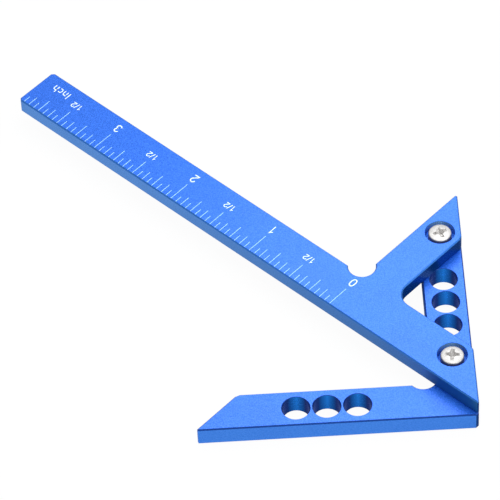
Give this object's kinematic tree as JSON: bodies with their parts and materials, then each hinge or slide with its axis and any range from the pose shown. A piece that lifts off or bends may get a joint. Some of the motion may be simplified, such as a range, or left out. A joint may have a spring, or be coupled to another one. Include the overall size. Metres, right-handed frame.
{
  "type": "marking square with fixed rule",
  "caption": "Right-angle marking fence with a graduated rule clamped over its corner by cross-recess screws, for 45 and 90 degree lines and for finding centres.",
  "frame": {"origin": "middle of the overall length and width, on the underside of the fence plate", "axes": "+X along the blade from the fence's corner to the blade's end, +Y from the graduated edge away from the branch, +Z from the fence plate up to the ruler plate"},
  "size_m": [0.1471, 0.091, 0.0092],
  "materials": {
    "blue_anodised": "fine bead-blasted, blue anodised, satin",
    "screw_plating": "bright zinc plated steel"
  },
  "bodies": {
    "plates": {"fence_plate": "blue_anodised", "ruler_plate": "blue_anodised"},
    "tip_screw": {"tip_screw": "screw_plating"},
    "corner_screw": {"corner_screw": "screw_plating"}
  },
  "joints": [
    {"name": "tip_screw_turn", "type": "hinge", "parent": "plates", "child": "tip_screw", "pos_m": [-0.03282, -0.03389, 0.0069], "axis": [0, 0, 1], "range_deg": [0, 2952]},
    {"name": "corner_screw_turn", "type": "hinge", "parent": "plates", "child": "corner_screw", "pos_m": [-0.05963, -0.00708, 0.0069], "axis": [0, 0, 1], "range_deg": [0, 2952]}
  ]
}
